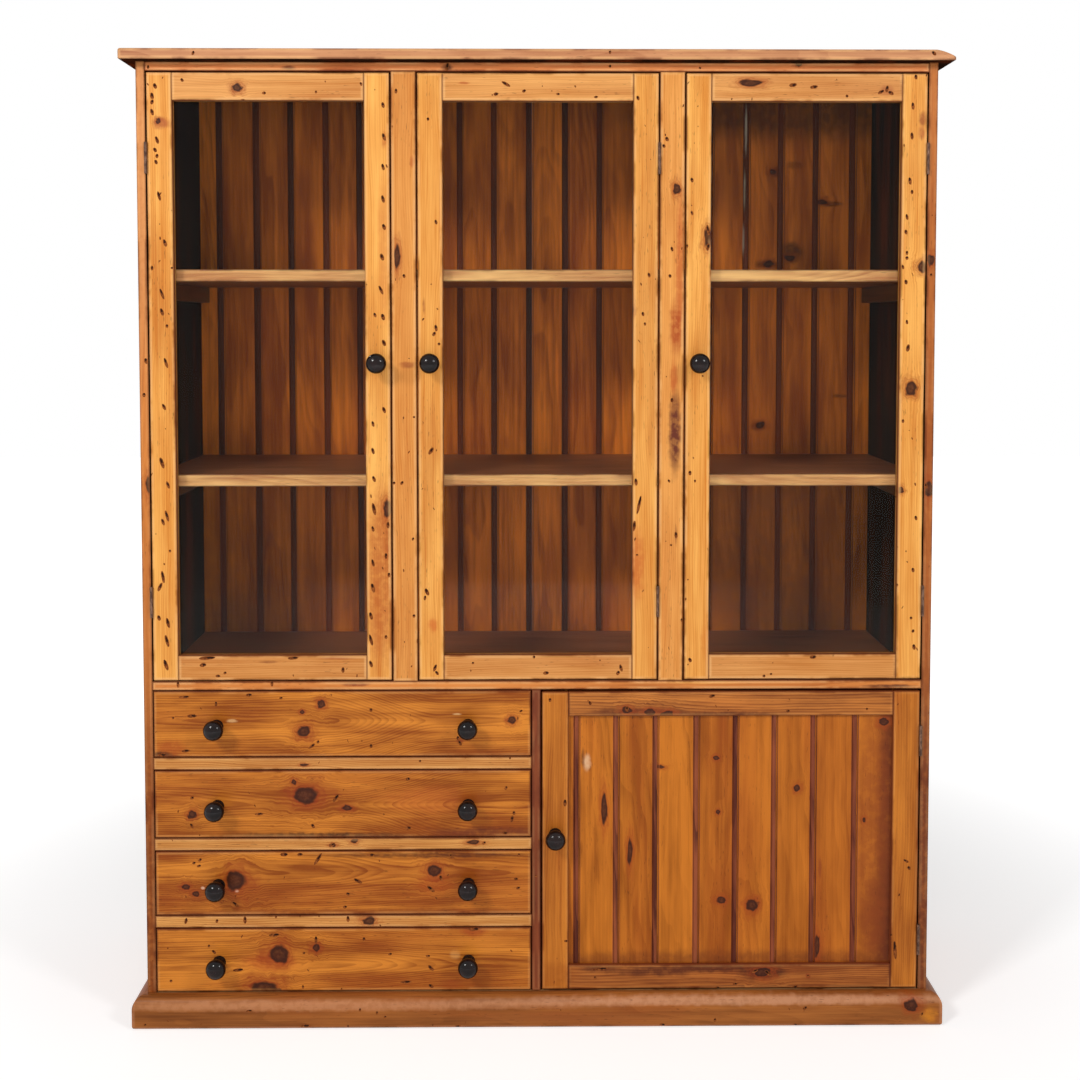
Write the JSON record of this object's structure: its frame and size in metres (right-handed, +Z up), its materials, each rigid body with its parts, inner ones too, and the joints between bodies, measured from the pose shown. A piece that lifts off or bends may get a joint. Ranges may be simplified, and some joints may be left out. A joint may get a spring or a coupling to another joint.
{
  "type": "kitchen dresser",
  "caption": "Free-standing pine cupboard: glazed doors over shelves above, drawers and a boarded door below, on a plinth.",
  "frame": {"origin": "on the floor, under the middle of the whole piece with its knobs", "axes": "+Z up, -Y towards the front with the doors and drawers, +X to the right as seen from the front"},
  "size_m": [1.673, 0.525, 2],
  "materials": {
    "honey_pine": "waxed, worn, honey colour",
    "amber_pine": "waxed, worn, dark amber",
    "pale_pine": "waxed, pale front edge",
    "drawer_pine": "bare, dry pine",
    "window_glass": "clear, smooth",
    "ebonised_wood": "polished, near black",
    "tarnished_steel": "tarnished, brown grey"
  },
  "bodies": {
    "carcase": {"side_left": "honey_pine", "side_right": "honey_pine", "top_board": "honey_pine", "top_rail": "honey_pine", "mullion_left": "honey_pine", "mullion_right": "honey_pine", "mid_board": "honey_pine", "bottom_board": "honey_pine", "shelf_lower": "pale_pine", "shelf_upper": "pale_pine", "plinth": "amber_pine", "back_boards": "amber_pine", "partition": "amber_pine", "drawer_frame_1": "amber_pine", "drawer_frame_2": "amber_pine", "drawer_frame_3": "amber_pine", "door_left_hinge_bottom_frame_leaf": "tarnished_steel", "door_left_hinge_top_frame_leaf": "tarnished_steel", "door_middle_hinge_bottom_frame_leaf": "tarnished_steel", "door_middle_hinge_top_frame_leaf": "tarnished_steel", "door_right_hinge_bottom_frame_leaf": "tarnished_steel", "door_right_hinge_top_frame_leaf": "tarnished_steel", "door_lower_hinge_bottom_frame_leaf": "tarnished_steel", "door_lower_hinge_top_frame_leaf": "tarnished_steel"},
    "door_left": {"door_left_frame": "honey_pine", "door_left_glass": "window_glass", "door_left_knob": "ebonised_wood", "door_left_hinge_bottom_door_leaf": "tarnished_steel", "door_left_hinge_top_door_leaf": "tarnished_steel"},
    "door_middle": {"door_middle_frame": "honey_pine", "door_middle_glass": "window_glass", "door_middle_knob": "ebonised_wood", "door_middle_hinge_bottom_door_leaf": "tarnished_steel", "door_middle_hinge_top_door_leaf": "tarnished_steel"},
    "door_right": {"door_right_frame": "honey_pine", "door_right_glass": "window_glass", "door_right_knob": "ebonised_wood", "door_right_hinge_bottom_door_leaf": "tarnished_steel", "door_right_hinge_top_door_leaf": "tarnished_steel"},
    "door_lower": {"door_lower_frame": "amber_pine", "door_lower_panel": "amber_pine", "door_lower_knob": "ebonised_wood", "door_lower_hinge_bottom_door_leaf": "tarnished_steel", "door_lower_hinge_top_door_leaf": "tarnished_steel"},
    "drawer_1": {"drawer_1_front": "amber_pine", "drawer_1_box": "drawer_pine", "drawer_1_knob_left": "ebonised_wood", "drawer_1_knob_right": "ebonised_wood"},
    "drawer_2": {"drawer_2_front": "amber_pine", "drawer_2_box": "drawer_pine", "drawer_2_knob_left": "ebonised_wood", "drawer_2_knob_right": "ebonised_wood"},
    "drawer_3": {"drawer_3_front": "amber_pine", "drawer_3_box": "drawer_pine", "drawer_3_knob_left": "ebonised_wood", "drawer_3_knob_right": "ebonised_wood"},
    "drawer_4": {"drawer_4_front": "amber_pine", "drawer_4_box": "drawer_pine", "drawer_4_knob_left": "ebonised_wood", "drawer_4_knob_right": "ebonised_wood"}
  },
  "joints": [
    {"name": "door_left_hinge", "type": "hinge", "parent": "carcase", "child": "door_left", "pos_m": [-0.79, -0.2158, 0.72], "axis": [0, 0, -1], "range_deg": [0, 110]},
    {"name": "door_middle_hinge", "type": "hinge", "parent": "carcase", "child": "door_middle", "pos_m": [0.24567, -0.2158, 0.72], "axis": [0, 0, 1], "range_deg": [0, 110]},
    {"name": "door_right_hinge", "type": "hinge", "parent": "carcase", "child": "door_right", "pos_m": [0.79, -0.2158, 0.72], "axis": [0, 0, 1], "range_deg": [0, 110]},
    {"name": "door_lower_hinge", "type": "hinge", "parent": "carcase", "child": "door_lower", "pos_m": [0.79, -0.2158, 0.069], "axis": [0, 0, 1], "range_deg": [0, 110]},
    {"name": "drawer_1_slide", "type": "slide", "parent": "carcase", "child": "drawer_1", "axis": [0, -1, 0], "range_m": [0, 0.36]},
    {"name": "drawer_2_slide", "type": "slide", "parent": "carcase", "child": "drawer_2", "axis": [0, -1, 0], "range_m": [0, 0.36]},
    {"name": "drawer_3_slide", "type": "slide", "parent": "carcase", "child": "drawer_3", "axis": [0, -1, 0], "range_m": [0, 0.36]},
    {"name": "drawer_4_slide", "type": "slide", "parent": "carcase", "child": "drawer_4", "axis": [0, -1, 0], "range_m": [0, 0.36]}
  ]
}
